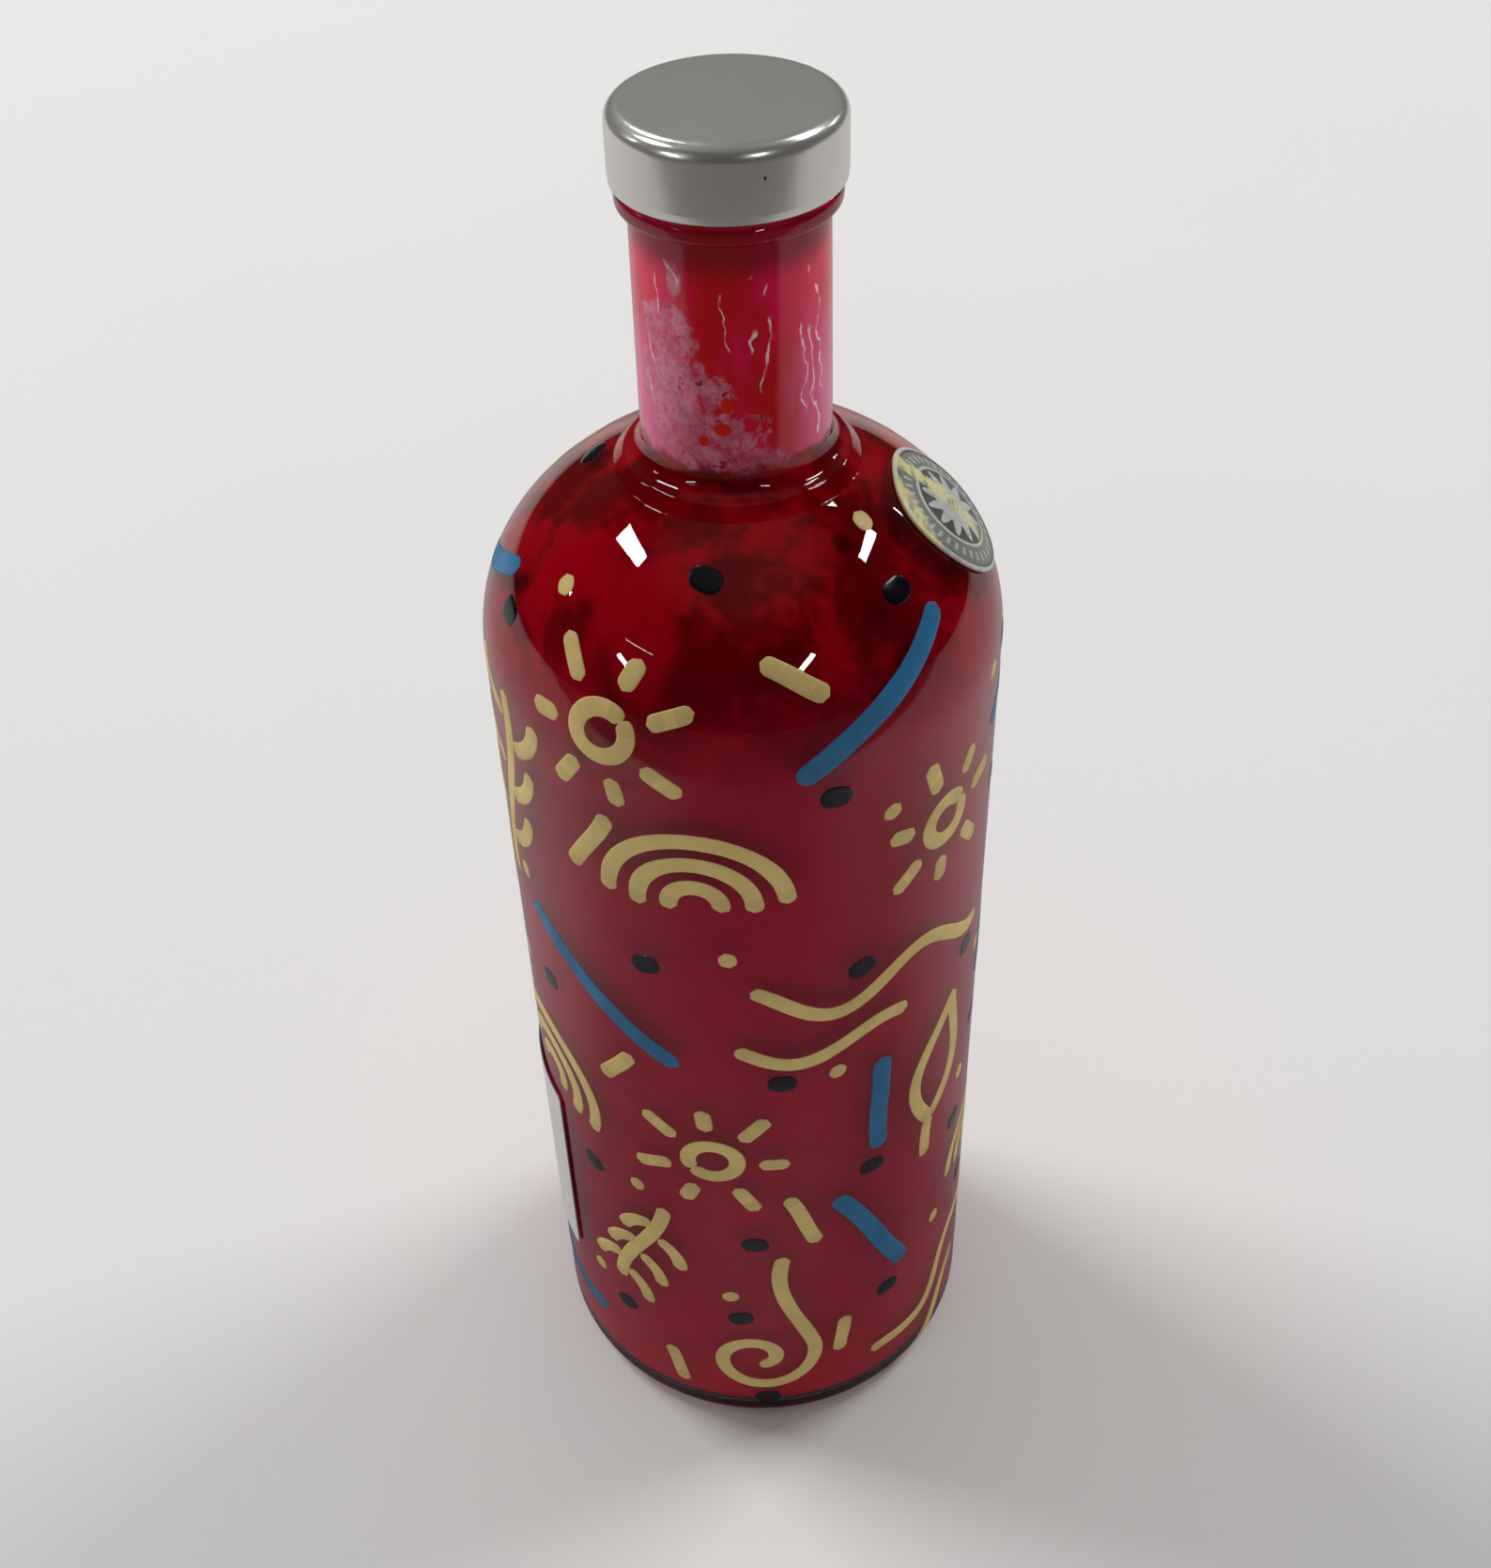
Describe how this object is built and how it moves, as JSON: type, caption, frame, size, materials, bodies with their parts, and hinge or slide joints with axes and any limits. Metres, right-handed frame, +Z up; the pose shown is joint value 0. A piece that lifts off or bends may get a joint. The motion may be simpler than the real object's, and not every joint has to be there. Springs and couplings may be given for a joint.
{
  "type": "vodka bottle",
  "caption": "Round shouldered glass spirits bottle with a collar ring, long neck and transfer bead, closed by a lined metal screw cap, with a shoulder medallion and a back label",
  "frame": {"origin": "Centre of the base, on the surface that the bottle stands on", "axes": "+Z up along the bottle's axis and the cap's, +X towards the side with the medallion, the label at -X, +Y to the right of a person who looks at the medallion"},
  "size_m": [0.0885, 0.088, 0.2743],
  "materials": {
    "coated_glass": "Clear flint glass with a crimson film on its inside",
    "satin_aluminium": "Satin lacquered drawn sheet",
    "natural_plastic": "Uncoloured moulded polypropylene",
    "white_foam": "Expanded polyethylene with a smooth skin",
    "grey_silver": "Silver grey print with a pale rim",
    "white_label_film": "White film label, bare",
    "crimson_film": "Crimson lacquer film on the inside of the glass, thin and skinned in the neck",
    "cream_paint": "Opaque marker paint",
    "blue_paint": "Opaque marker paint",
    "black_paint": "Glossy marker paint"
  },
  "bodies": {
    "bottle": {"glass_bottle": "coated_glass", "shoulder_medallion": "grey_silver", "back_label": "white_label_film"},
    "liner": {"cap_liner": "white_foam"},
    "cap": {"cap_shell": "satin_aluminium", "cap_insert": "natural_plastic"}
  },
  "joints": [
    {"name": "cap_lift", "type": "slide", "parent": "bottle", "child": "liner", "axis": [0, 0, 1], "range_m": [0, 0.045]},
    {"name": "cap_turn", "type": "hinge", "parent": "liner", "child": "cap", "pos_m": [0, 0, 0.2706], "axis": [0, 0, 1], "range_deg": [0, 360]}
  ]
}
